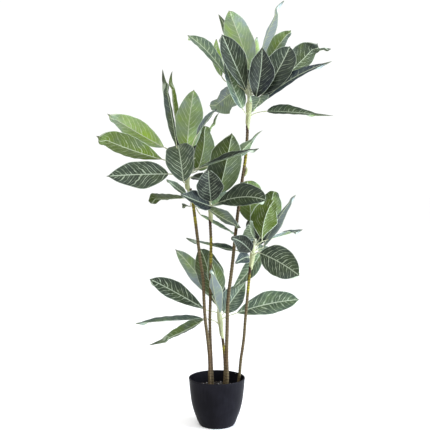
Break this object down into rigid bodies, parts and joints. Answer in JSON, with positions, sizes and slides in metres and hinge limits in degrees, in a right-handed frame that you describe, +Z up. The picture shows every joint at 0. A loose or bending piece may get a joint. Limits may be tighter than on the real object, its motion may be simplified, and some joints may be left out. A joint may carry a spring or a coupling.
{
  "type": "potted calathea",
  "caption": "Tall potted calathea with ringed canes in a round black pot, each cane ending in a crown of striped leaves.",
  "frame": {"origin": "centre of the pot's foot, on the surface it stands on", "axes": "+Z up along the pot's axis; -Y towards the front, the side that the picture shows; +X to the right in the picture"},
  "size_m": [0.7036, 0.306, 1.278],
  "materials": {
    "pot_black": "satin black",
    "soil_dark": "rough and crumbly",
    "cane_brown": "rough, with fine rings",
    "leaf_green": "soft sheen, with pale veins"
  },
  "bodies": {
    "root": {"pot": "pot_black", "soil": "soil_dark", "cane_left": "cane_brown", "cane_middle": "cane_brown", "cane_tall": "cane_brown", "cane_right": "cane_brown", "cane_short": "cane_brown", "crown_left": "leaf_green", "crown_middle": "leaf_green", "crown_top": "leaf_green", "crown_right": "leaf_green", "crown_low": "leaf_green"}
  },
  "joints": []
}
